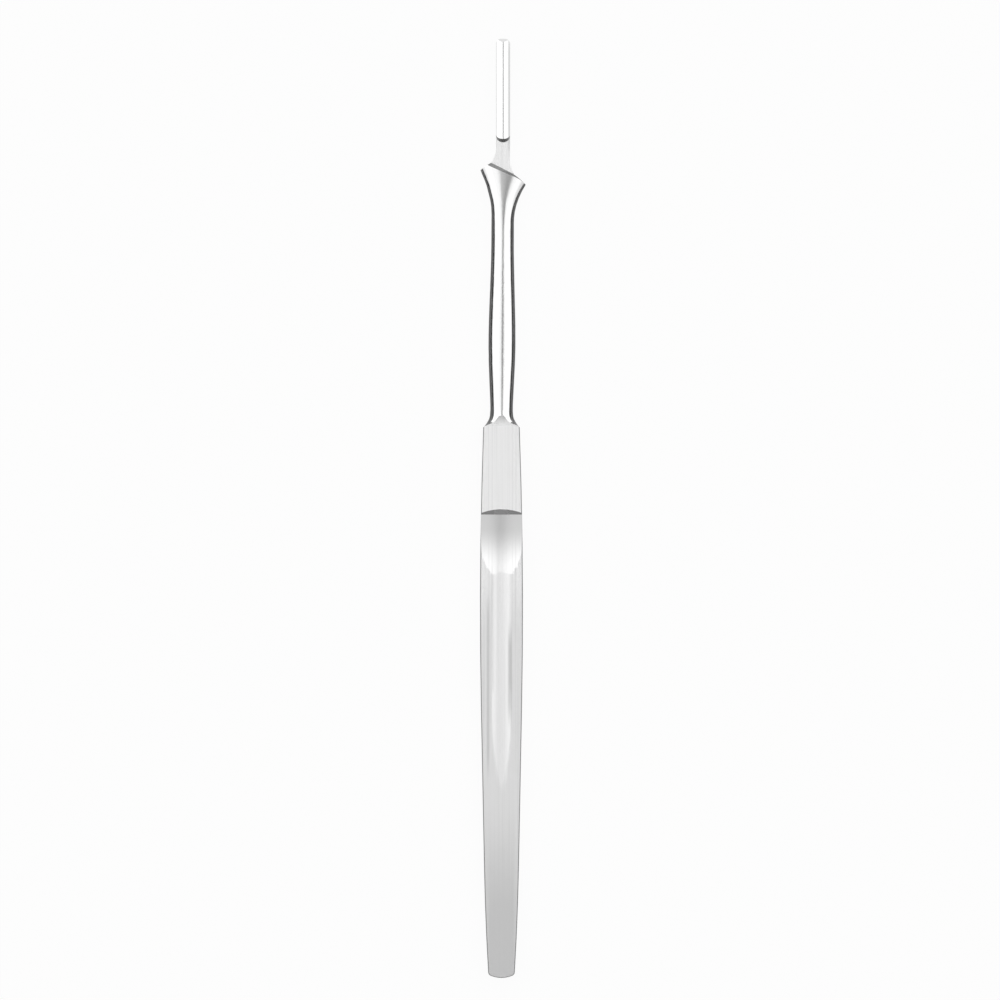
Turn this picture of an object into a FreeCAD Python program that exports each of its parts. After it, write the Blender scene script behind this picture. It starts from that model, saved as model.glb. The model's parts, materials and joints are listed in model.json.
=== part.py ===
"""Long surgical scalpel handle, forged and ground from one bar of stainless steel.

The handle lies face up. Its length runs along Y with the blade end towards +Y, its width
along X and its thickness along Z. The origin is the middle of the bolster's back face,
which is one of the flats that the handle rests on. All sizes are in millimetres.
"""

import FreeCAD, Part
import math
import os

from FreeCAD import Vector

# Bar
bar_thickness = 3.4
edge_radius = 0.6
face_grind = 0.15

# Grip, from the tail end to the thumb wall
grip_length = 103.6
grip_width = 9.6
grip_widest_distance = 82.3
grip_side_radius = 1147.0
taper_start_distance = 60.0
taper_end_distance = 24.0
tail_side_radius = 560.0
tail_end_rise = 0.75
tail_corner_radius = 0.9

# Bolster, the full thickness block between the thumb wall and the neck
bolster_length = 19.5

# Thumb hollow and the shallow flute behind it, ground lengthwise into both faces of the grip
hollow_cross_radius = 19.0
hollow_depth = 0.8
hollow_length = 14.2
thumb_wall_slope = 34.0
flute_depth = 0.12
flute_start_distance = 41.0
flute_full_distance = 66.0

# Neck, from the bolster's front corners to the head's near corner
neck_length = 54.2
rear_flare_length = 3.45
rear_flare_cover = 0.25
rear_crest_length = 5.2
rear_crest_power = 2.2
rear_crest_cover = 0.4
rear_crest_fall = 0.04
rear_squareness = 5.5
rear_squareness_length = 1.3
neck_squareness = 2.3
neck_rear_width = 5.1
neck_swell_width = 6.05
neck_swell_distance = 18.5
neck_front_width = 5.04
neck_front_distance = 42.0
neck_thickness = 3.2
neck_front_thickness = 3.05
section_points = 24

# Head, the flared end of the neck with its oblique shoulder
head_width = 10.13
head_thickness = 3.2
head_squareness = 3.0
near_flare_length = 8.2
near_flare_power = 2.0
far_flare_length = 9.6
far_flare_power = 1.7
head_far_corner = 57.6
head_overrun = 1.5
corner_overrun = 0.3
shoulder_far_x = -3.28
shoulder_far_distance = 58.55
shoulder_near_x = 2.32
shoulder_near_distance = 56.2
shoulder_bow = 0.3
shoulder_foot_run = 0.7

# Blade fitting
tang_width = 3.14
tang_offset = 0.35
tang_length = 23.1
seat_length = 4.55
tip_corner_radius = 1.1
tang_thickness = 2.0
blade_slot_width = 0.45
blade_slot_depth = 0.45
boss_crown_radius = 3.5
boss_rear_slope_run = 0.7
boss_lead_length = 0.7
boss_lead_drop = 0.3
seat_far_flare = 3.8
seat_far_bow = 0.18
seat_near_x = 2.92
seat_near_flare = 2.7
seat_near_bow = 0.08
seat_root_length = 1.0

# Places that follow from the sizes
middle_z = bar_thickness / 2
bolster_front = bolster_length / 2
thumb_wall = -bolster_length / 2
tail_end = thumb_wall - grip_length
bolster_front_distance = grip_length + bolster_length
bar_end_distance = bolster_front_distance + rear_crest_length
seat_top = middle_z - blade_slot_width / 2
tang_bottom = middle_z - tang_thickness / 2
boss_top = middle_z + tang_thickness / 2
boss_rear = bolster_front + shoulder_far_distance + shoulder_foot_run + seat_length
tip_end = boss_rear + tang_length


def from_tail(distance):
    """Y of a point that lies a distance from the tail end."""
    return tail_end + distance


def on_neck(distance):
    """Y of a point that lies a distance in front of the bolster."""
    return bolster_front + distance


def face_of(edges):
    """Flat face inside a closed run of edges."""
    return Part.Face(Part.Wire(edges))


def line(start, end):
    """Straight edge between two points."""
    return Part.LineSegment(start, end).toShape()


def arc(start, middle, end):
    """Circular edge through three points."""
    return Part.Arc(start, middle, end).toShape()


def side_arc_half_width(distance):
    """Half width of the long arc along each side of the grip and bolster."""
    along = distance - grip_widest_distance
    sag = grip_side_radius - math.sqrt(grip_side_radius ** 2 - along ** 2)
    return grip_width / 2 - sag


def tail_arc_half_width(distance):
    """Half width of the arc along each side of the tail, which goes on from the straight taper."""
    lean = math.asin((grip_widest_distance - taper_start_distance) / grip_side_radius)
    run = taper_start_distance - taper_end_distance
    taper_end_half_width = side_arc_half_width(taper_start_distance) - run * math.tan(lean)
    end_lean = math.asin(math.sin(lean) + (taper_end_distance - distance) / tail_side_radius)
    return taper_end_half_width - tail_side_radius * (math.cos(lean) - math.cos(end_lean))


def side_edges(side):
    """Edges of one side of the grip and bolster, from the front corner to the tail."""
    front = side_point(side, side_arc_half_width(bar_end_distance), bar_end_distance)
    middle_distance = (bar_end_distance + taper_start_distance) / 2
    middle = side_point(side, side_arc_half_width(middle_distance), middle_distance)
    taper_half = side_arc_half_width(taper_start_distance)
    taper_start = side_point(side, taper_half, taper_start_distance)
    tail_half = tail_arc_half_width(taper_end_distance)
    taper_end = side_point(side, tail_half, taper_end_distance)
    tail_middle_distance = (taper_end_distance + tail_end_rise) / 2
    tail_middle = side_point(side, tail_arc_half_width(tail_middle_distance), tail_middle_distance)
    tail = side_point(side, tail_arc_half_width(tail_end_rise), tail_end_rise)
    return [
        arc(front, middle, taper_start),
        line(taper_start, taper_end),
        arc(taper_end, tail_middle, tail),
    ]


def side_point(side, half_width, distance):
    """Point on one side of the grip, -1 for the left or 1 for the right."""
    return Vector(side * half_width, from_tail(distance), 0)


def bar():
    """Tapered bar with rounded long edges and ground faces, which runs on past the bolster."""
    front_half = side_arc_half_width(bar_end_distance)
    front_y = from_tail(bar_end_distance)
    tail_half = tail_arc_half_width(tail_end_rise)
    tail_y = from_tail(tail_end_rise)
    end = arc(Vector(-tail_half, tail_y, 0), Vector(0, tail_end, 0), Vector(tail_half, tail_y, 0))
    front = line(Vector(-front_half, front_y, 0), Vector(front_half, front_y, 0))
    edges = Part.__sortEdges__(side_edges(1) + side_edges(-1) + [end, front])
    blank = face_of(edges).extrude(Vector(0, 0, bar_thickness + 2 * face_grind))
    blank = blank.makeFillet(tail_corner_radius, tail_corner_edges(blank))
    blank = blank.makeFillet(edge_radius, long_edges(blank))
    blank.translate(Vector(0, 0, -face_grind))
    length = grip_length + bolster_length + neck_length
    kept = Part.makeBox(
        2 * grip_width, 2 * length, bar_thickness, Vector(-grip_width, tail_end - edge_radius, 0)
    )
    return blank.common(kept)


def tail_corner_edges(body):
    """The two upright edges at the corners of the tail."""
    found = []
    for edge in body.Edges:
        box = edge.BoundBox
        upright = box.ZLength > bar_thickness / 2
        if upright and abs(box.YMax - from_tail(tail_end_rise)) < edge_radius / 2:
            found.append(edge)
    return found


def long_edges(body):
    """All level edges of the bar but the two across its front end."""
    found = []
    for edge in body.Edges:
        box = edge.BoundBox
        level = box.ZLength < edge_radius / 2
        across_front = box.YLength < edge_radius / 2 and box.YMax > 0
        if level and not across_front:
            found.append(edge)
    return found


def hollow_cutters():
    """Shapes that a round-nosed wheel takes out of the upper face, from the flute to the wall."""
    run_out = flute_full_distance - flute_start_distance
    flute = wheel_section(flute_full_distance, flute_depth)
    tail_run = swept_up_to_tail(flute, flute_full_distance, flute_depth, run_out)
    groove = flute.extrude(Vector(0, grip_length - flute_full_distance, 0))
    deepest = wheel_section(grip_length, hollow_depth)
    hollow = swept_up_to_tail(deepest, grip_length, hollow_depth, hollow_length)
    slope = math.radians(thumb_wall_slope)
    wall = deepest.extrude(Vector(0, math.cos(slope), math.sin(slope)) * hollow_cross_radius)
    return [tail_run, groove, hollow, wall]


def wheel_section(distance, depth):
    """Round face across the handle that cuts the upper face to a depth."""
    centre = Vector(0, from_tail(distance), bar_thickness - depth + hollow_cross_radius)
    edge = Part.Circle(centre, Vector(0, 1, 0), hollow_cross_radius).toShape()
    return face_of([edge])


def swept_up_to_tail(section, distance, depth, length):
    """Section swung up towards the tail, so that its depth runs out in a length."""
    radius = (length ** 2 + depth ** 2) / (2 * depth)
    swing = 2 * math.degrees(math.asin(length / radius))
    pivot = Vector(0, from_tail(distance), bar_thickness - depth + radius)
    return section.revolve(pivot, Vector(-1, 0, 0), swing)


def mirrored_below(shape):
    """Copy of a shape on the other side of the handle's middle plane."""
    return shape.mirror(Vector(0, 0, middle_z), Vector(0, 0, 1))


def hollowed(body):
    """The bar with a thumb hollow in each face."""
    for cutter in hollow_cutters():
        body = body.cut(cutter)
        body = body.cut(mirrored_below(cutter))
    return body


def eased(amount):
    """Smooth step from 0 to 1 as the amount goes from 0 to 1, and level outside that."""
    amount = min(max(amount, 0.0), 1.0)
    return 0.5 - 0.5 * math.cos(math.pi * amount)


def axis_shift(distance):
    """Sideways offset of the neck's axis, which runs out to the blade fitting's."""
    return tang_offset * distance / shoulder_far_distance


def neck_half_width(distance):
    """Half width of the neck without its flares."""
    if distance < neck_swell_distance:
        rear = rear_flare_length
        share = eased((distance - rear) / (neck_swell_distance - rear))
        return (neck_rear_width + (neck_swell_width - neck_rear_width) * share) / 2
    share = eased((distance - neck_swell_distance) / (neck_front_distance - neck_swell_distance))
    return (neck_swell_width + (neck_front_width - neck_swell_width) * share) / 2


def flare(distance, end, length, power):
    """Extra half width of the head where its flare ends, straight on past that point."""
    amount = (head_width - neck_front_width) / 2
    share = (distance - end + length) / length
    if share <= 0:
        return 0.0
    if share > 1:
        return amount * (1 + power * (share - 1))
    return amount * share ** power


def rear_flare(distance):
    """Extra half width where the neck opens out past the bolster's corners."""
    amount = side_arc_half_width(bolster_front_distance) + rear_flare_cover - neck_rear_width / 2
    share = max(1 - (distance + rear_flare_cover) / rear_flare_length, 0.0)
    return amount * share ** 2


def neck_half_thickness(distance):
    """Half thickness at the crest, thicker than the bar where it meets the bolster."""
    rear = max(1 - distance / rear_crest_length, 0.0) ** rear_crest_power
    front = eased((distance - neck_swell_distance) / (neck_front_distance - neck_swell_distance))
    head = eased((distance - neck_front_distance) / (neck_length - neck_front_distance))
    half = neck_thickness / 2
    half += (bar_thickness / 2 + rear_crest_cover - neck_thickness / 2) * rear
    half += (neck_front_thickness - neck_thickness) / 2 * front
    half += (head_thickness - neck_front_thickness) / 2 * head
    return half


def squareness_at(distance):
    """Exponent of the section's outline: 2 is an ellipse, a large one is a rectangle."""
    rear = eased(1 - distance / rear_squareness_length)
    head = eased((distance - neck_front_distance) / (neck_length - neck_front_distance))
    squareness = neck_squareness
    squareness += (rear_squareness - neck_squareness) * rear
    squareness += (head_squareness - neck_squareness) * head
    return squareness


def neck_section(distance):
    """Closed smooth outline across the neck."""
    bare = neck_half_width(distance) + rear_flare(distance)
    right = bare + flare(distance, neck_length, near_flare_length, near_flare_power)
    left = bare + flare(distance, head_far_corner, far_flare_length, far_flare_power)
    return rounded_section(
        distance, left, right, neck_half_thickness(distance), squareness_at(distance)
    )


def rounded_section(distance, left, right, half_thickness, squareness):
    """Closed outline between a rectangle and an ellipse, level with the middle plane."""
    points = []
    for index in range(section_points):
        turn = 2 * math.pi * index / section_points
        across = abs(math.cos(turn)) ** (2 / squareness)
        up = abs(math.sin(turn)) ** (2 / squareness)
        reach = right if math.cos(turn) > 0 else -left
        side = 1 if math.sin(turn) > 0 else -1
        points.append(
            Vector(
                axis_shift(distance) + reach * across,
                on_neck(distance),
                middle_z + side * half_thickness * up,
            )
        )
    curve = Part.BSplineCurve()
    steps = [float(index) for index in range(section_points + 1)]
    curve.interpolate(Points=points, Parameters=steps, PeriodicFlag=True)
    return Part.Wire([curve.toShape()])


def stations(start, end, count):
    """Distances after a start, in equal steps up to an end."""
    return [start + (end - start) * step / count for step in range(1, count + 1)]


def neck_and_head():
    """Neck that swells in its middle and flares out to both ends."""
    flare_end = rear_flare_length - rear_flare_cover
    distances = [-rear_flare_cover]
    distances += stations(-rear_flare_cover, flare_end, 4)
    distances += stations(flare_end, neck_swell_distance, 4)
    distances += stations(neck_swell_distance, neck_front_distance, 4)
    distances += stations(neck_front_distance, shoulder_far_distance + head_overrun, 8)
    return Part.makeLoft([neck_section(distance) for distance in distances], True, False)


def ahead_of(y):
    """Block that holds all of the handle in front of a place along it."""
    reach = 2 * grip_width
    return Part.makeBox(
        2 * reach, 2 * neck_length, 2 * reach, Vector(-reach, y, middle_z - reach)
    )


def falling_flats():
    """Block ahead of the bolster, whose flats curve away slightly towards the neck."""
    reach = 2 * grip_width
    front_y = from_tail(bar_end_distance)
    middle_y = (bolster_front + front_y) / 2
    lower_rear = Vector(-reach, bolster_front, 0)
    lower_middle = Vector(-reach, middle_y, rear_crest_fall / 4)
    lower_front = Vector(-reach, front_y, rear_crest_fall)
    upper_rear = Vector(-reach, bolster_front, bar_thickness)
    upper_middle = Vector(-reach, middle_y, bar_thickness - rear_crest_fall / 4)
    upper_front = Vector(-reach, front_y, bar_thickness - rear_crest_fall)
    outline = [
        arc(lower_rear, lower_middle, lower_front),
        line(lower_front, upper_front),
        arc(upper_front, upper_middle, upper_rear),
        line(upper_rear, lower_rear),
    ]
    return face_of(outline).extrude(Vector(2 * reach, 0, 0))


def sculpted():
    """Grip, bolster, neck and head, before the shoulder is cut."""
    neck = neck_and_head()
    whole_bar = bar()
    bolster_and_grip = hollowed(whole_bar.cut(ahead_of(bolster_front)))
    crest = neck.common(falling_flats()).common(whole_bar)
    body = bolster_and_grip.fuse(crest).removeSplitter()
    return body.fuse(neck.common(ahead_of(from_tail(bar_end_distance))))


def shoulder_points(z, run):
    """The far corner, far end, near end and near corner of the shoulder at one height.

    Args:
        z: Height of the points.
        run: How far the shoulder's wall has run forward from its top edge at that height.

    Returns:
        The four points. The corners stay where they are, and the far end runs on along the
        line from the far corner.
    """
    half = head_width / 2 + corner_overrun
    far_corner = Vector(tang_offset - half, on_neck(head_far_corner) - corner_overrun, z)
    far = Vector(shoulder_far_x, on_neck(shoulder_far_distance), z)
    far += (far - far_corner) * (run / (far.y - far_corner.y))
    near = Vector(shoulder_near_x, on_neck(shoulder_near_distance) + run, z)
    near_corner = Vector(tang_offset + half, on_neck(neck_length) - corner_overrun, z)
    return far_corner, far, near, near_corner


def shoulder_outline(z, run):
    """Front outline of the head and all that lies in front of it, at one height."""
    far_corner, far, near, near_corner = shoulder_points(z, run)
    bend = (near + near_corner) / 2 + Vector(0, shoulder_bow, 0)
    reach = head_width * 2
    ahead = on_neck(2 * neck_length)
    return Part.Wire([
        line(Vector(-reach, far_corner.y - reach / 2, z), far_corner),
        line(far_corner, far),
        line(far, near),
        arc(near, bend, near_corner),
        line(near_corner, Vector(reach, near_corner.y - reach / 2, z)),
        line(Vector(reach, near_corner.y - reach / 2, z), Vector(reach, ahead, z)),
        line(Vector(reach, ahead, z), Vector(-reach, ahead, z)),
        line(Vector(-reach, ahead, z), Vector(-reach, far_corner.y - reach / 2, z)),
    ])


def with_shoulder(body):
    """The head cut off along its oblique shoulder, whose upper wall leans back."""
    rise = bar_thickness - seat_top
    foot = Part.Face(shoulder_outline(-rise, shoulder_foot_run))
    lower = foot.extrude(Vector(0, 0, rise + seat_top))
    upper = Part.makeLoft(
        [
            shoulder_outline(seat_top, shoulder_foot_run),
            shoulder_outline(bar_thickness + rise, -shoulder_foot_run),
        ],
        True,
        True,
    )
    return body.cut(lower).cut(upper)


def tang_outline(z, rear_edges):
    """Outline of the tang from its rounded tip back to the given rear edges."""
    left = tang_offset - tang_width / 2
    right = tang_offset + tang_width / 2
    radius = tip_corner_radius
    diagonal = radius * (1 - math.sqrt(0.5))
    start = rear_edges[-1].Vertexes[-1].Point
    end = rear_edges[0].Vertexes[0].Point
    return rear_edges + [
        line(start, Vector(right, tip_end - radius, z)),
        arc(
            Vector(right, tip_end - radius, z),
            Vector(right - diagonal, tip_end - diagonal, z),
            Vector(right - radius, tip_end, z),
        ),
        line(Vector(right - radius, tip_end, z), Vector(left + radius, tip_end, z)),
        arc(
            Vector(left + radius, tip_end, z),
            Vector(left + diagonal, tip_end - diagonal, z),
            Vector(left, tip_end - radius, z),
        ),
        line(Vector(left, tip_end - radius, z), end),
    ]


def seat_and_tang():
    """Thin plate under the blade, from inside the head out to the tip."""
    left = tang_offset - tang_width / 2
    right = tang_offset + tang_width / 2
    _, far, near, near_corner = shoulder_points(tang_bottom, shoulder_foot_run)
    share = (seat_near_x - near.x) / (near_corner.x - near.x)
    near += (near_corner - near) * share
    far_start = Vector(left, far.y + seat_far_flare, tang_bottom)
    near_start = Vector(right, near.y + seat_near_flare, tang_bottom)
    root_y = on_neck(neck_length) - seat_root_length
    far_root = Vector(left, root_y, tang_bottom)
    near_root = Vector(right, root_y, tang_bottom)
    rear_edges = [
        arc(far_start, flare_middle(far_start, far, seat_far_bow), far),
        line(far, far_root),
        line(far_root, near_root),
        line(near_root, near),
        arc(near, flare_middle(near_start, near, seat_near_bow), near_start),
    ]
    plate = face_of(tang_outline(tang_bottom, rear_edges))
    return plate.extrude(Vector(0, 0, seat_top - tang_bottom))


def flare_middle(start, end, bow):
    """Middle of an arc from the tang's side out to the shoulder, bowed in towards the tang."""
    half = (end - start) / 2
    side = 1 if half.x > 0 else -1
    return start + half + Vector(half.y * side, -half.x * side, 0) * bow


def boss_outline(z, slope_run):
    """Outline of the raised boss at one height, with its round rear end."""
    half = tang_width / 2
    shoulder_y = boss_rear + half
    rear = arc(
        Vector(tang_offset - half, shoulder_y, z),
        Vector(tang_offset, boss_rear + slope_run, z),
        Vector(tang_offset + half, shoulder_y, z),
    )
    return Part.Wire(tang_outline(z, [rear]))


def boss():
    """Crowned boss that the blade's slot slides over, undercut along both sides."""
    body = Part.makeLoft(
        [boss_outline(seat_top, 0.0), boss_outline(boss_top, boss_rear_slope_run)], True, True
    )
    crown = Part.makeCylinder(
        boss_crown_radius,
        2 * tang_length,
        Vector(tang_offset, boss_rear - tang_length / 2, boss_top - boss_crown_radius),
        Vector(0, 1, 0),
    )
    body = body.common(crown)
    for side in (-1, 1):
        body = body.cut(slot_cutter(side))
    return body.cut(lead_cutter())


def slot_cutter(side):
    """Groove for the edge of the blade's slot, along one side of the boss."""
    wall = tang_offset + side * (tang_width / 2 - blade_slot_depth)
    outer = tang_offset + side * tang_width
    start = boss_rear + tang_width / 2
    return Part.makeBox(
        abs(outer - wall),
        2 * tang_length,
        blade_slot_width,
        Vector(min(wall, outer), start, seat_top),
    )


def lead_cutter():
    """Block above the sloping lead that helps the blade onto the boss."""
    angle = math.degrees(math.atan2(boss_lead_drop, boss_lead_length))
    reach = 2 * tang_width
    block = Part.makeBox(2 * reach, reach, reach, Vector(tang_offset - reach, 0, 0))
    block.rotate(Vector(0, 0, 0), Vector(1, 0, 0), -angle)
    block.translate(Vector(0, tip_end - boss_lead_length, boss_top))
    return block


def handle():
    """The whole handle as one solid."""
    fitting = seat_and_tang().fuse(boss()).removeSplitter()
    return with_shoulder(sculpted()).fuse(fitting)


def main():
    """Build the handle and write its file."""
    os.makedirs("parts", exist_ok=True)
    body = handle()
    solid = body.Solids[0]
    print("solids", len(body.Solids), "valid", solid.isValid(), "volume", round(solid.Volume, 1))
    print("box", solid.BoundBox)
    solid.exportStep("parts/handle.step")


main()
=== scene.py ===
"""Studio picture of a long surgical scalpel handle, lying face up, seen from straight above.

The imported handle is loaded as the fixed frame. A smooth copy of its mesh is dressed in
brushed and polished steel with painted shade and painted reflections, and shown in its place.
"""

import json
import logging
import math
from collections.abc import Callable
from dataclasses import dataclass, field
from enum import Enum

import bmesh
import bpy
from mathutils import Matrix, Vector

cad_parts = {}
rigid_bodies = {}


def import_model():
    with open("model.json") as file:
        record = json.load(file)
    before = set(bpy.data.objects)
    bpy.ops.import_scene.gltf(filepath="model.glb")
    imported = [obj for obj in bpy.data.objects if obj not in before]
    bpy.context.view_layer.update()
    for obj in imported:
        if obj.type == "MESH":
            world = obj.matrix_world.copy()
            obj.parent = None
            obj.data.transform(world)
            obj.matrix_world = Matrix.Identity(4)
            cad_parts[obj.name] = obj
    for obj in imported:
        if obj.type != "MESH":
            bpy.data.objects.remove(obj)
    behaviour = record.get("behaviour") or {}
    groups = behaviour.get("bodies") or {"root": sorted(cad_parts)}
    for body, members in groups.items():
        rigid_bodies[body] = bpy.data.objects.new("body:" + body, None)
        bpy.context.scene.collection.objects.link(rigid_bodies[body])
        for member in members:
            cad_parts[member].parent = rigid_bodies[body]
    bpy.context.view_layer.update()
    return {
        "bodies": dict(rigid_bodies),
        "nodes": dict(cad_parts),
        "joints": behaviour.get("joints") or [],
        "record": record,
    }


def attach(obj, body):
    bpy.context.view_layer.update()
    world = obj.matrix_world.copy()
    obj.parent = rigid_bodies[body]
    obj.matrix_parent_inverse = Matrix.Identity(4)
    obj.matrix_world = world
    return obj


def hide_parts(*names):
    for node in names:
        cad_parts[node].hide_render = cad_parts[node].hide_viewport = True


log = logging.getLogger("scalpel_handle")

Colour = tuple[float, float, float]


class Axis(Enum):
    """Names of the outputs of a Separate XYZ node."""

    ACROSS = "X"
    ALONG = "Y"
    UP = "Z"


class Value:
    """A socket that carries one number, with the usual arithmetic."""

    def __init__(self, graph: "Graph", socket: bpy.types.NodeSocket) -> None:
        """Keep the socket and the graph that its Math nodes go into."""
        self.graph = graph
        self.socket = socket

    def __add__(self, other: "Value | float") -> "Value":
        """Sum of the two."""
        return self.graph.math("ADD", self, other)

    def __radd__(self, other: float) -> "Value":
        """Sum of the two."""
        return self.graph.math("ADD", other, self)

    def __sub__(self, other: "Value | float") -> "Value":
        """This value less the other."""
        return self.graph.math("SUBTRACT", self, other)

    def __rsub__(self, other: float) -> "Value":
        """The other less this value."""
        return self.graph.math("SUBTRACT", other, self)

    def __mul__(self, other: "Value | float") -> "Value":
        """Product of the two."""
        return self.graph.math("MULTIPLY", self, other)

    def __rmul__(self, other: float) -> "Value":
        """Product of the two."""
        return self.graph.math("MULTIPLY", other, self)

    def __truediv__(self, other: "Value | float") -> "Value":
        """This value over the other."""
        return self.graph.math("DIVIDE", self, other)

    def __abs__(self) -> "Value":
        """Size of the value without its sign."""
        return self.graph.math("ABSOLUTE", self)

    def step(self, low: float, high: float) -> "Value":
        """Smooth step from 0 at the low value to 1 at the high one."""
        return self.graph.smooth_step(self, low, high)


class Graph:
    """Builds the nodes of one material or world."""

    def __init__(self, tree: bpy.types.NodeTree) -> None:
        """Empty the tree and start on it."""
        self.tree = tree
        self.tree.nodes.clear()

    def node(self, kind: str, settings: dict | None = None, inputs: dict | None = None) -> bpy.types.Node:
        """Add a node of any type.

        Args:
            kind: the node's type name.
            settings: its properties, which are set before its sockets.
            inputs: values or links of its sockets, by name or number.

        Returns:
            The new node.
        """
        made = self.tree.nodes.new(kind)
        for name, value in (settings or {}).items():
            setattr(made, name, value)
        for name, value in (inputs or {}).items():
            self.feed(made.inputs[name], value)
        return made

    def feed(
        self, socket: bpy.types.NodeSocket, value: "Value | bpy.types.NodeSocket | float | tuple"
    ) -> None:
        """Link a socket to another one, or set its value."""
        if isinstance(value, Value):
            self.tree.links.new(value.socket, socket)
        elif isinstance(value, bpy.types.NodeSocket):
            self.tree.links.new(value, socket)
        else:
            socket.default_value = value

    def math(self, operation: str, *terms: "Value | float") -> Value:
        """Add a Math node.

        Args:
            operation: the node's operation.
            terms: its values, in order.

        Returns:
            The result.
        """
        made = self.node("ShaderNodeMath", {"operation": operation}, dict(enumerate(terms)))
        return Value(self, made.outputs[0])

    def smooth_step(self, value: Value, low: float, high: float) -> Value:
        """Add a Map Range node that steps smoothly.

        Args:
            value: what is stepped.
            low: the value that gives 0.
            high: the value that gives 1.

        Returns:
            The step, from 0 to 1.
        """
        inputs = {"Value": value, "From Min": low, "From Max": high}
        made = self.node("ShaderNodeMapRange", {"interpolation_type": "SMOOTHSTEP"}, inputs)
        return Value(self, made.outputs["Result"])

    def part_of(self, vector: bpy.types.NodeSocket, axis: Axis) -> Value:
        """One component of a vector."""
        made = self.node("ShaderNodeSeparateXYZ", inputs={0: vector})
        return Value(self, made.outputs[axis.value])

    def mix(
        self,
        factor: "Value | float",
        low: "Colour | bpy.types.NodeSocket",
        high: "Colour | bpy.types.NodeSocket",
    ) -> bpy.types.NodeSocket:
        """Mix two colours.

        Args:
            factor: 0 gives the low colour and 1 the high one.
            low: the first colour.
            high: the second colour.

        Returns:
            The mixed colour's socket.
        """
        made = self.node("ShaderNodeMix", {"data_type": "RGBA"}, {0: factor})
        for socket, colour in ((made.inputs[6], low), (made.inputs[7], high)):
            self.feed(socket, (*colour, 1.0) if isinstance(colour, tuple) else colour)
        return made.outputs[2]

    def noise(
        self, vector: bpy.types.NodeSocket, scale: float, detail: float = 2.0, roughness: float = 0.5
    ) -> Value:
        """Noise at a vector.

        Args:
            vector: where the noise is read.
            scale: how fine it is.
            detail: how many finer layers are added.
            roughness: how strong the finer layers are.

        Returns:
            The noise, about 0.5 on average.
        """
        inputs = {"Vector": vector, "Scale": scale, "Detail": detail, "Roughness": roughness}
        made = self.node("ShaderNodeTexNoise", {"noise_dimensions": "3D"}, inputs)
        return Value(self, made.outputs[0])

    def stretched(self, scale: tuple[float, float, float]) -> bpy.types.NodeSocket:
        """Object coordinates stretched by a factor along each axis."""
        place = self.node("ShaderNodeTexCoord").outputs["Object"]
        made = self.node("ShaderNodeMapping", inputs={"Vector": place, "Scale": scale})
        return made.outputs["Vector"]


@dataclass(frozen=True)
class Streak:
    """A lengthwise band of colour, used for brushed streaks and for painted reflections."""

    centre: float
    half_width: float
    front: float
    rear: float
    colour: Colour
    share: float
    fade: float = 0.004

    def mask(self, across: Value, along: Value) -> Value:
        """Where the streak lies, from 0 to its share.

        Args:
            across: place across the handle.
            along: place along the handle.

        Returns:
            The mask.
        """
        beside = abs(across - self.centre).step(self.half_width, self.half_width * 0.3)
        rear_end = along.step(self.rear - self.fade, self.rear + self.fade)
        front_end = along.step(self.front + self.fade, self.front - self.fade)
        return beside * rear_end * front_end * self.share


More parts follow.
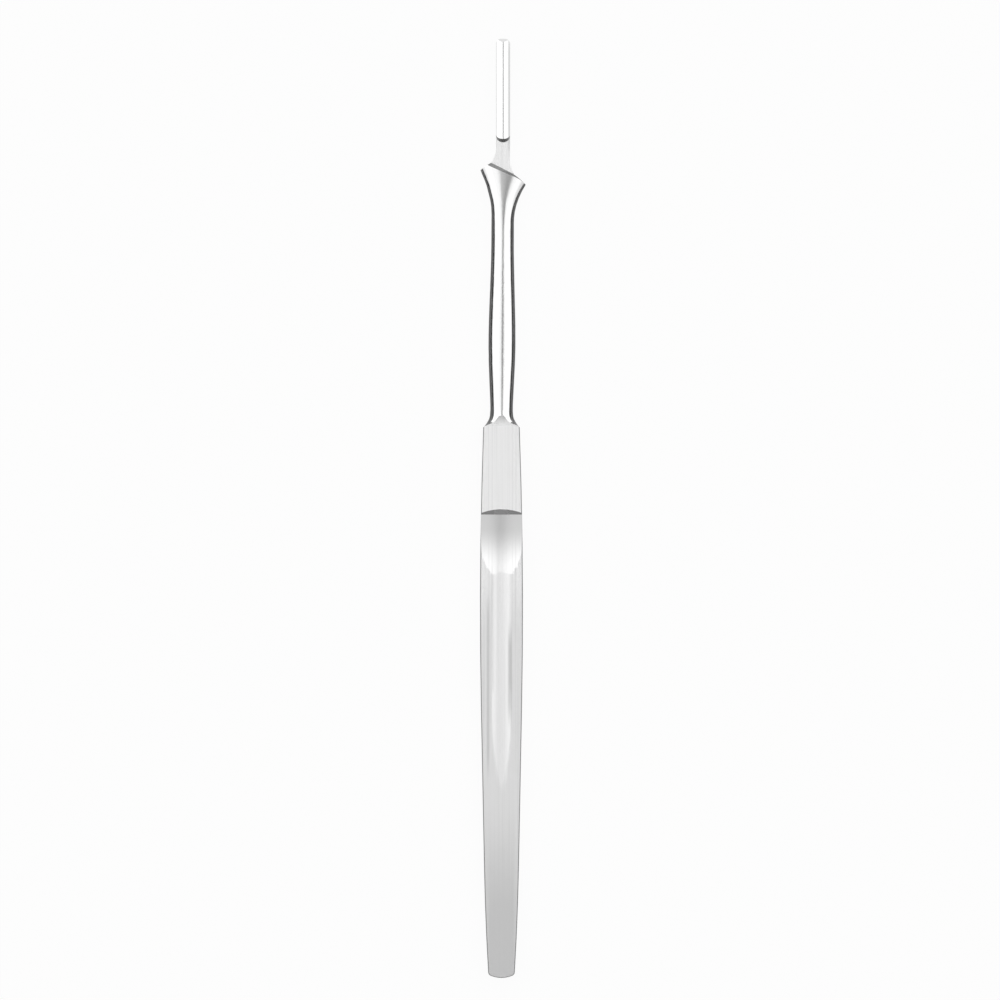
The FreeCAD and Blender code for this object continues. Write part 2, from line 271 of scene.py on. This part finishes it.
@dataclass(frozen=True)
class Steel:
    """Stainless steel: polished neck and fitting, brushed flats, duller sides, with painted shade on the
    sides, walls, thumb hollow, tail and tip end, and painted reflections along the flute and the fitting's
    crown.
    """

    bolster_colour: Colour = (0.98, 0.98, 0.98)
    grip_colour: Colour = (0.88, 0.88, 0.88)
    polished_colour: Colour = (0.97, 0.97, 0.97)
    flute_colour: Colour = (0.98, 0.98, 0.98)
    # Painted shade in the thumb hollow just behind the bolster's wall.
    hollow_painted_shade_colour: Colour = (0.60, 0.60, 0.60)
    streak_colour: Colour = (0.60, 0.60, 0.60)
    # Painted shade on the shoulder wall and on the boss's rear wall.
    wall_painted_shade_colour: Colour = (0.24, 0.24, 0.24)
    # Painted shade: the upright sides are darkened into a dark outline, and the neck's sides are darker
    # still.
    side_painted_shade_colour: Colour = (0.28, 0.28, 0.28)
    neck_side_painted_shade_colour: Colour = (0.13, 0.13, 0.13)
    # Painted shade at the tail: greyer towards its end, less so near its edges.
    tail_edge_start: float = 0.0024
    tail_edge_end: float = 0.0036
    tail_painted_shade_colour: Colour = (0.66, 0.66, 0.66)
    # Painted shade on the forward-facing end at the tip.
    tip_painted_shade_colour: Colour = (0.66, 0.66, 0.66)
    polished_roughness: float = 0.12
    brushed_roughness: float = 0.30
    side_roughness: float = 0.45
    polish_start: float = 0.0095
    polish_end: float = 0.0125
    seat_rear: float = 0.0665
    seat_low: float = 0.0015
    seat_high: float = 0.0016
    hollow_front: float = -0.0098
    hollow_shade_front: float = -0.0125
    hollow_rear: float = -0.0215
    grip_front: float = -0.022
    grip_rear: float = -0.036
    tail_grey_start: float = -0.072
    tail_grey_end: float = -0.100
    shoulder_rear: float = 0.0625
    shoulder_front: float = 0.0698
    boss_wall_rear: float = 0.0722
    boss_wall_front: float = 0.0748
    tip_lead: float = 0.0952
    # Brushed streaks, with painted reflections: a bright band along the flute's left edge and a dark band
    # along its right edge.
    streaks_and_painted_reflections: tuple[Streak, ...] = (
        Streak(-0.0030, 0.00045, -0.030, -0.066, (0.62, 0.62, 0.62), 0.6),
        Streak(0.0019, 0.00065, -0.036, -0.0547, (0.50, 0.50, 0.50), 0.6),
        Streak(-0.0017, 0.00080, -0.030, -0.060, (0.97, 0.97, 0.97), 0.8),
    )
    # Painted reflections on the fitting's crown: a grey band on its right slope and a lighter line near its
    # left edge.
    fitting_painted_reflections: tuple[Streak, ...] = (
        Streak(0.0017, 0.00045, 0.0975, 0.0725, (0.60, 0.60, 0.60), 0.8),
        Streak(-0.00115, 0.00030, 0.0975, 0.0725, (0.82, 0.82, 0.82), 0.8),
    )

    def build(self) -> bpy.types.Material:
        """Make the material.

        Returns:
            The new material.
        """
        material = bpy.data.materials.new("handle_steel")
        material.use_nodes = True
        graph = Graph(material.node_tree)
        place = graph.node("ShaderNodeTexCoord").outputs["Object"]
        along = graph.part_of(place, Axis.ALONG)
        facing = graph.node("ShaderNodeNewGeometry").outputs["Normal"]
        side = abs(graph.part_of(facing, Axis.UP)).step(0.84, 0.68)
        tilt = abs(graph.part_of(facing, Axis.ACROSS))
        on_bolster = along.step(self.hollow_front, self.hollow_front + 0.0002)
        edge = tilt.step(0.25, 0.35) + (tilt.step(0.04, 0.12) - tilt.step(0.25, 0.35)) * on_bolster
        seat = along.step(self.seat_rear, self.seat_rear + 0.0003)
        seat = seat * graph.part_of(place, Axis.UP).step(self.seat_high, self.seat_low)
        polished = along.step(self.polish_start, self.polish_end) * (1.0 - seat)
        polished = polished + (1.0 - polished) * edge
        brushed = 1.0 - polished
        fine = graph.noise(graph.stretched((14000.0, 60.0, 1500.0)), 1.0, 2.0, 0.5)
        rough = self.polished_roughness * polished + self.brushed_roughness * brushed
        rough = rough + (fine - 0.5) * brushed * 0.08
        rough = rough + (self.side_roughness - rough) * side
        bump = graph.node(
            "ShaderNodeBump",
            inputs={"Strength": 0.12, "Distance": 0.00002, "Height": fine * brushed},
        )
        shader = graph.node(
            "ShaderNodeBsdfPrincipled",
            inputs={
                "Base Color": self.tint(graph, place, facing, polished, side),
                "Metallic": 1.0,
                "Roughness": rough,
                "Normal": bump.outputs[0],
            },
        )
        graph.node("ShaderNodeOutputMaterial", inputs={"Surface": shader.outputs[0]})
        return material

    def tint(
        self,
        graph: Graph,
        place: bpy.types.NodeSocket,
        facing: bpy.types.NodeSocket,
        polished: Value,
        side: Value,
    ) -> bpy.types.NodeSocket:
        """Colour of the steel over the whole handle, with its painted shade and painted reflections.

        Args:
            graph: the material's graph.
            place: the place on the handle.
            facing: the surface's direction.
            polished: 1 where the steel is polished, 0 where it is brushed.
            side: 1 on the handle's upright sides.

        Returns:
            The colour's socket.
        """
        across = graph.part_of(place, Axis.ACROSS)
        along = graph.part_of(place, Axis.ALONG)
        ahead = graph.part_of(facing, Axis.ALONG)
        on_grip = along.step(self.grip_front, self.grip_rear)
        colour = graph.mix(on_grip, self.bolster_colour, self.grip_colour)
        # Painted shade: the thumb hollow is darkened just behind the bolster's wall, where the wall shades
        # it.
        painted_shade_behind_wall = along.step(self.hollow_front + 0.0002, self.hollow_front)
        painted_shade_behind_wall = painted_shade_behind_wall * along.step(self.hollow_rear, self.hollow_shade_front)
        colour = graph.mix(painted_shade_behind_wall, colour, self.hollow_painted_shade_colour)
        colour = graph.mix(self.flute(across, along) * 0.8, colour, self.flute_colour)
        # Brushed streaks and painted reflections along the flute's edges.
        for streak in self.streaks_and_painted_reflections:
            colour = graph.mix(streak.mask(across, along), colour, streak.colour)
        grain = graph.noise(graph.stretched((2600.0, 14.0, 300.0)), 1.0, 3.0, 0.6)
        colour = graph.mix((grain - 0.45).step(0.0, 0.3) * 0.3, colour, self.streak_colour)
        # Painted shade: the tail is greyed towards its end, less so near its edges.
        tail = along.step(self.tail_grey_start, self.tail_grey_end)
        inner = 1.0 - abs(across).step(self.tail_edge_start, self.tail_edge_end) * 0.45
        colour = graph.mix(tail * inner * 0.85, colour, self.tail_painted_shade_colour)
        colour = graph.mix(polished, colour, self.polished_colour)
        # Painted reflections along the fitting's crown.
        for streak in self.fitting_painted_reflections:
            colour = graph.mix(streak.mask(across, along), colour, streak.colour)
        # Painted shade: the shoulder wall that faces the blade end is darkened, where the corner shades it.
        shoulder = along.step(self.shoulder_rear, self.shoulder_rear + 0.0005)
        shoulder = shoulder * along.step(self.shoulder_front, self.shoulder_front - 0.0003)
        colour = graph.mix(ahead.step(0.30, 0.50) * shoulder, colour, self.wall_painted_shade_colour)
        # Painted shade: the boss's rear wall is darkened, where the corner shades it.
        boss = along.step(self.boss_wall_rear, self.boss_wall_rear + 0.0002)
        boss = boss * along.step(self.boss_wall_front, self.boss_wall_front - 0.0002)
        colour = graph.mix(ahead.step(-0.30, -0.50) * boss, colour, self.wall_painted_shade_colour)
        # Painted shade for the upright sides, darkest along the neck.
        neck = along.step(self.polish_start, self.polish_end)
        neck = neck * along.step(self.seat_rear + 0.001, self.seat_rear)
        side_painted_shade_colour = graph.mix(neck, self.side_painted_shade_colour, self.neck_side_painted_shade_colour)
        # Painted shade: the faces at the tip end that look forward are darkened.
        tip = ahead.step(0.15, 0.35) * along.step(self.tip_lead, self.tip_lead + 0.0003)
        colour = graph.mix(tip, colour, self.tip_painted_shade_colour)
        # Painted shade laid on the upright sides.
        return graph.mix(side, colour, side_painted_shade_colour)

    def flute(self, across: Value, along: Value) -> Value:
        """The shallow flute's outline on the flats.

        Args:
            across: place across the handle.
            along: place along the handle.

        Returns:
            1 inside the flute, 0 outside it.
        """
        form = GripForm()
        run = along.step(form.flute_full, form.flute_start)
        depth = form.flute_depth * (1.0 - run * run) - across * across * (0.5 / form.cross_radius)
        return depth.step(-0.000004, 0.000010) * along.step(form.hollow_end, form.hollow_end - 0.006)


def eased(amount: float) -> float:
    """Smooth step from 0 to 1 as the amount goes from 0 to 1, and level outside that."""
    amount = min(max(amount, 0.0), 1.0)
    return 0.5 - 0.5 * math.cos(math.pi * amount)


@dataclass(frozen=True)
class NeckForm:
    """The neck's form, whose section lies between an ellipse and a rectangle."""

    rear: float = 0.00975
    middle: float = 0.0017
    squareness: float = 2.3
    rear_squareness: float = 5.5
    rear_squareness_length: float = 0.0013
    head_squareness: float = 3.0
    axis_run: float = 0.00035
    axis_length: float = 0.05855
    rear_width: float = 0.0051
    swell_width: float = 0.00605
    front_width: float = 0.00504
    swell: float = 0.0185
    front: float = 0.042
    flare_length: float = 0.00345
    flare_cover: float = 0.00025
    flare_amount: float = 0.001774
    head_extra: float = 0.002545
    near_end: float = 0.0542
    near_length: float = 0.0082
    near_power: float = 2.0
    far_end: float = 0.0576
    far_length: float = 0.0096
    far_power: float = 1.7
    thickness: float = 0.0032
    front_thickness: float = 0.00305
    head_thickness: float = 0.0032
    crest_extra: float = 0.0005
    crest_length: float = 0.0052
    crest_power: float = 2.2

    def half_width(self, distance: float, side: float) -> float:
        """Half width of the neck on one side.

        Args:
            distance: distance in front of the bolster.
            side: more than 0 on the right.

        Returns:
            The half width.
        """
        if distance < self.swell:
            share = eased((distance - self.flare_length) / (self.swell - self.flare_length))
            half = (self.rear_width + (self.swell_width - self.rear_width) * share) / 2
        else:
            share = eased((distance - self.swell) / (self.front - self.swell))
            half = (self.swell_width + (self.front_width - self.swell_width) * share) / 2
        half += self.flare_amount * max(1 - (distance + self.flare_cover) / self.flare_length, 0.0) ** 2
        if side > 0:
            end, length, power = self.near_end, self.near_length, self.near_power
        else:
            end, length, power = self.far_end, self.far_length, self.far_power
        share = max((distance - end + length) / length, 0.0)
        if share > 1:
            return half + self.head_extra * (1 + power * (share - 1))
        return half + self.head_extra * share**power

    def half_thickness(self, distance: float) -> float:
        """Half thickness of the neck at its crest."""
        rear = max(1 - distance / self.crest_length, 0.0) ** self.crest_power
        front = eased((distance - self.swell) / (self.front - self.swell))
        head = eased((distance - self.front) / (self.near_end - self.front))
        half = self.thickness / 2 + self.crest_extra * rear
        half += (self.front_thickness - self.thickness) / 2 * front
        return half + (self.head_thickness - self.front_thickness) / 2 * head

    def squareness_at(self, distance: float) -> float:
        """Exponent of the section's outline: 2 is an ellipse, a large one is a rectangle."""
        rear = eased(1 - distance / self.rear_squareness_length)
        head = eased((distance - self.front) / (self.near_end - self.front))
        squareness = self.squareness + (self.rear_squareness - self.squareness) * rear
        return squareness + (self.head_squareness - self.squareness) * head

    def level(self, place: Vector) -> float:
        """How far out a place is: 1 on the neck's surface, less inside it."""
        distance = place.y - self.rear
        across = place.x - self.axis_run * distance / self.axis_length
        wide = abs(across) / self.half_width(distance, across)
        high = abs(place.z - self.middle) / self.half_thickness(distance)
        squareness = self.squareness_at(distance)
        return wide**squareness + high**squareness

    def normal(self, place: Vector, reach: float = 0.00001) -> Vector:
        """Outward direction of the neck's surface at a place."""
        steps = [Vector([reach * (axis == index) for index in range(3)]) for axis in range(3)]
        return Vector(
            [self.level(place + step) - self.level(place - step) for step in steps]
        ).normalized()


@dataclass(frozen=True)
class GripForm:
    """The grip's upper and lower faces: flats, thumb hollow and flute."""

    middle: float = 0.0017
    half_thickness: float = 0.0017
    wall: float = -0.00975
    tail: float = -0.11335
    cross_radius: float = 0.019
    hollow_depth: float = 0.0008
    hollow_length: float = 0.0142
    hollow_end: float = -0.02395
    flute_depth: float = 0.00012
    flute_start: float = -0.07235
    flute_full: float = -0.04735

    def depths(self, place: Vector) -> dict[str, float]:
        """Depth of the hollow and of the flute below the flat, less than 0 outside them."""
        rise = self.cross_radius - math.sqrt(self.cross_radius**2 - place.x**2)
        back = min(max((self.wall - place.y) / self.hollow_length, 0.0), 1.5)
        run_out = max((self.flute_full - place.y) / (self.flute_full - self.flute_start), 0.0)
        return {
            "hollow": self.hollow_depth * (1 - back**2) - rise,
            "flute": self.flute_depth * (1 - run_out**2) - rise,
        }

    def normal(self, place: Vector, up: float) -> Vector:
        """Outward direction of the upper or lower face at a place.

        Args:
            place: where on the face.
            up: 1 for the upper face, -1 for the lower one.

        Returns:
            The direction.
        """
        depths = self.depths(place)
        slope_across = -place.x / self.cross_radius
        if max(depths.values()) <= 0.0:
            return Vector((0.0, 0.0, up))
        if depths["hollow"] > depths["flute"]:
            back = min((self.wall - place.y) / self.hollow_length, 1.0)
            slope_along = 2 * self.hollow_depth / self.hollow_length * back
            return Vector((slope_across, slope_along, up)).normalized()
        return Vector((slope_across, 0.0, up)).normalized()


@dataclass(frozen=True)
class BossForm:
    """The crowned top of the blade fitting."""

    axis: float = 0.00035
    rear: float = 0.0735
    crown_radius: float = 0.0035
    top: float = 0.0027

    def normal(self, place: Vector) -> Vector:
        """Outward direction of the crown at a place."""
        centre = self.top - self.crown_radius
        return Vector((place.x - self.axis, 0.0, place.z - centre)).normalized()


@dataclass
class Handle:
    """The forged handle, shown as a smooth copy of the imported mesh."""

    node: str = "handle"
    slot: str = "steel"
    body: str = "root"
    weld_distance: float = 0.000002
    crease_angle: float = math.radians(18.0)
    neck_step: float = 0.0008
    hollow_step: float = 0.0007
    flute_step: float = 0.0025
    cross_step: float = 0.00075
    cross_reach: float = 0.0045
    head_overrun: float = 0.0015
    level_slack: float = 0.12
    steel: Steel = field(default_factory=Steel)
    neck: NeckForm = field(default_factory=NeckForm)
    grip: GripForm = field(default_factory=GripForm)
    boss: BossForm = field(default_factory=BossForm)

    def build(self, frame: dict) -> bpy.types.Object:
        """Make the copy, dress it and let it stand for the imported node.


        Returns:
            The new object.
        """
        packed = frame["nodes"][self.node]
        mesh = self.merged_copy(packed.data)
        self.smooth(mesh)
        piece = bpy.data.objects.new("forged_handle", mesh)
        bpy.context.scene.collection.objects.link(piece)
        mesh.materials.clear()
        mesh.materials.append(self.steel.build())
        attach(piece, self.body)
        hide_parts(self.node)
        log.info("handle: %d faces", len(mesh.polygons))
        return piece

    def merged_copy(self, packed: bpy.types.Mesh) -> bpy.types.Mesh:
        """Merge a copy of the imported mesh, divide its long facets and mark its crisp edges.

        Args:
            packed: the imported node's mesh.

        Returns:
            A new closed mesh with smooth faces and sharp crisp edges.
        """
        shape = bmesh.new()
        shape.from_mesh(packed)
        bmesh.ops.remove_doubles(shape, verts=shape.verts, dist=self.weld_distance)
        for edge in shape.edges:
            crisp = len(edge.link_faces) != 2 or edge.calc_face_angle() > self.crease_angle
            edge.smooth = not crisp
        head = self.neck.rear + self.neck.far_end + self.head_overrun
        self.divide(shape, Axis.ALONG, self.neck.rear, head, self.neck_step)
        hollow_rear = self.grip.wall - self.grip.hollow_length
        self.divide(shape, Axis.ALONG, hollow_rear, self.grip.wall, self.hollow_step)
        self.divide(shape, Axis.ALONG, self.grip.flute_start, self.grip.flute_full, self.flute_step)
        self.divide(shape, Axis.ACROSS, -self.cross_reach, self.cross_reach, self.cross_step)
        for face in shape.faces:
            face.smooth = True
        mesh = bpy.data.meshes.new("forged_handle")
        shape.to_mesh(mesh)
        shape.free()
        return mesh

    def divide(
        self, shape: bmesh.types.BMesh, axis: Axis, start: float, end: float, step: float
    ) -> None:
        """Cut a stretch of the mesh into slices that lie on its facets.

        Args:
            shape: the mesh.
            axis: the axis that the slices follow one another on.
            start: where the first cut is.
            end: where the last cut is.
            step: the thickness of a slice.
        """
        index = 0 if axis is Axis.ACROSS else 1
        count = round((end - start) / step)
        for number in range(count + 1):
            place = [0.0, 0.0, 0.0]
            place[index] = start + (end - start) * number / count
            direction = [0.0, 0.0, 0.0]
            direction[index] = 1.0
            cut = shape.verts[:] + shape.edges[:] + shape.faces[:]
            bmesh.ops.bisect_plane(
                shape, geom=cut, dist=0.000001, plane_co=place, plane_no=direction
            )

    def smooth(self, mesh: bpy.types.Mesh) -> None:
        """Give each face's corners a direction from the form's formula, to hide the facets.

        Args:
            mesh: the merged mesh.
        """
        corners = [Vector(corner.vector) for corner in mesh.corner_normals]
        for face in mesh.polygons:
            form = self.form_of(face)
            if form is None:
                continue
            for corner in face.loop_indices:
                place = mesh.vertices[mesh.loops[corner].vertex_index].co
                corners[corner] = form(place)
        mesh.normals_split_custom_set([tuple(corner) for corner in corners])

    def form_of(self, face: bpy.types.MeshPolygon) -> Callable[[Vector], Vector] | None:
        """The form that a face belongs to.

        Args:
            face: a face of the merged mesh.

        Returns:
            A function from a place to the form's direction there, or None.
        """
        centre = Vector(face.center)
        facing = Vector(face.normal)
        up = 1.0 if facing.z > 0 else -1.0
        height = abs(centre.z - self.neck.middle)
        if centre.y > self.boss.rear and facing.z > 0.8 and height > 0.0003:
            if self.boss.normal(centre).dot(facing) > 0.985:
                return self.boss.normal
        in_neck = centre.y > self.neck.rear and height < self.grip.half_thickness - 0.00001
        if in_neck and abs(self.neck.level(centre) - 1) < self.level_slack:
            if self.neck.normal(centre).dot(facing) > 0.9:
                return self.neck.normal
        if abs(facing.z) > 0.97 and centre.y < self.grip.wall:
            return lambda place: self.grip.normal(place, up)
        if abs(facing.z) > 0.9995:
            return lambda place: Vector((0.0, 0.0, up))
        return None


@dataclass(frozen=True)
class Softboxes:
    """Two long softboxes overhead in a dim room with a white horizon."""

    lamp: float = 1.0
    gap: float = 0.2
    room: float = 0.025
    horizon: float = 1.0
    horizon_top: float = 0.10
    gap_centre: float = 0.03
    gap_half: float = 0.022
    gap_blur: float = 0.040
    gap_length: float = 0.35
    outer_start: float = 0.77
    outer_end: float = 0.86
    rear_share: float = 0.22
    level_behind: float = 0.70
    rise_overhead: float = 0.30
    rise_ahead: float = 0.16

    def brightness(self, graph: Graph, direction: bpy.types.NodeSocket) -> Value:
        """How bright the studio is in a direction, for every kind of ray alike.

        Args:
            graph: the world's graph.
            direction: the direction looked in.

        Returns:
            The brightness.
        """
        across = graph.part_of(direction, Axis.ACROSS)
        along = graph.part_of(direction, Axis.ALONG)
        up = graph.part_of(direction, Axis.UP)
        from_gap = abs(across - self.gap_centre)
        beside = from_gap.step(self.gap_half, self.gap_half + self.gap_blur)
        in_gap = (1.0 - beside) * abs(along).step(self.gap_length + 0.1, self.gap_length)
        lamps = self.lamp + (self.gap - self.lamp) * in_gap
        forward = self.level_behind + self.rise_overhead * along.step(-0.30, -0.02)
        forward = forward + self.rise_ahead * along.step(0.04, 0.24)
        far_back = along.step(-0.85, -0.45)
        lengthwise = self.rear_share + (forward - self.rear_share) * far_back
        inside = 1.0 - abs(across).step(self.outer_start, self.outer_end)
        above = up.step(0.12, 0.30)
        overhead = self.room + (lamps * lengthwise - self.room) * inside * above
        low = up.step(self.horizon_top, self.horizon_top - 0.04)
        return overhead + (self.horizon - overhead) * low


@dataclass
class Studio:
    """White floor, softbox surroundings and two weak soft lamps."""

    floor_half: float = 3.0
    floor_drop: float = 0.00002
    floor_glow: float = 0.95
    softboxes: Softboxes = field(default_factory=Softboxes)
    lamp_power: float = 0.15
    lamp_size: tuple[float, float] = (0.5, 0.9)

    def build(self) -> None:
        """Make the floor, the world and the lamps."""
        floor = self.floor()
        self.world()
        self.lamp("left_softbox", Vector((-0.7, 0.1, 1.3)))
        self.lamp("right_softbox", Vector((0.7, 0.1, 1.3)))
        log.info("studio: floor, surroundings and two lamps")

    def floor(self) -> bpy.types.Object:
        """Make the floor.

        Returns:
            The floor's object.
        """
        shape = bmesh.new()
        bmesh.ops.create_grid(shape, x_segments=1, y_segments=1, size=self.floor_half)
        bmesh.ops.translate(shape, verts=shape.verts, vec=(0.0, 0.0, -self.floor_drop))
        mesh = bpy.data.meshes.new("floor")
        shape.to_mesh(mesh)
        shape.free()
        floor = bpy.data.objects.new("floor", mesh)
        bpy.context.scene.collection.objects.link(floor)
        mesh.materials.append(self.floor_paint())
        return floor

    def floor_paint(self) -> bpy.types.Material:
        """Make the floor's white paint.

        Returns:
            The new material.
        """
        material = bpy.data.materials.new("floor_paint")
        material.use_nodes = True
        graph = Graph(material.node_tree)
        path = graph.node("ShaderNodeLightPath").outputs
        seen = Value(graph, path["Is Camera Ray"]) + Value(graph, path["Is Glossy Ray"])
        seen = seen + Value(graph, path["Is Transmission Ray"])
        glow = graph.node("ShaderNodeEmission", inputs={"Color": (1.0, 1.0, 1.0, 1.0), "Strength": 1.0})
        paint = graph.node("ShaderNodeBsdfDiffuse", inputs={"Color": (0.8, 0.8, 0.8, 1.0)})
        share = graph.node(
            "ShaderNodeMixShader",
            inputs={0: seen * self.floor_glow, 1: paint.outputs[0], 2: glow.outputs[0]},
        )
        graph.node("ShaderNodeOutputMaterial", inputs={"Surface": share.outputs[0]})
        return material

    def world(self) -> None:
        """Make the surroundings."""
        world = bpy.data.worlds.new("studio")
        bpy.context.scene.world = world
        world.use_nodes = True
        graph = Graph(world.node_tree)
        direction = graph.node("ShaderNodeTexCoord").outputs["Generated"]
        strength = self.softboxes.brightness(graph, direction)
        sky = graph.node("ShaderNodeBackground", inputs={"Color": (1.0, 1.0, 1.0, 1.0), "Strength": strength})
        graph.node("ShaderNodeOutputWorld", inputs={"Surface": sky.outputs[0]})

    def lamp(self, name: str, place: Vector) -> None:
        """Add a soft lamp that points at the handle.

        Args:
            name: the lamp's name.
            place: where it hangs.
        """
        light = bpy.data.lights.new(name, "AREA")
        light.shape = "RECTANGLE"
        light.size, light.size_y = self.lamp_size
        light.energy = self.lamp_power
        lamp = bpy.data.objects.new(name, light)
        lamp.location = place
        lamp.rotation_euler = (-place).to_track_quat("-Z", "Y").to_euler()
        bpy.context.scene.collection.objects.link(lamp)


@dataclass(frozen=True)
class Viewpoint:
    """Long-lens camera straight above the handle, with the blade end at the top."""

    across: float = -0.00033
    along: float = -0.0065
    height: float = 1.2
    width_seen: float = 0.2241
    sensor: float = 36.0

    def build(self) -> None:
        """Make the camera and look through it."""
        camera = bpy.data.cameras.new("overhead")
        camera.sensor_width = self.sensor
        camera.lens = self.sensor * self.height / self.width_seen
        camera.clip_start = 0.05
        camera.clip_end = 10.0
        stand = bpy.data.objects.new("overhead", camera)
        stand.location = (self.across, self.along, self.height)
        bpy.context.scene.collection.objects.link(stand)
        bpy.context.scene.camera = stand
        log.info("camera: %.0f mm lens, %.2f m up", camera.lens, self.height)


def main() -> None:
    """Build the handle, the studio and the camera."""
    logging.basicConfig(level=logging.INFO)
    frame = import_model()
    bpy.context.scene.view_settings.view_transform = "Standard"
    Handle().build(frame)
    Studio().build()
    Viewpoint().build()


if __name__ == "__main__":
    main()
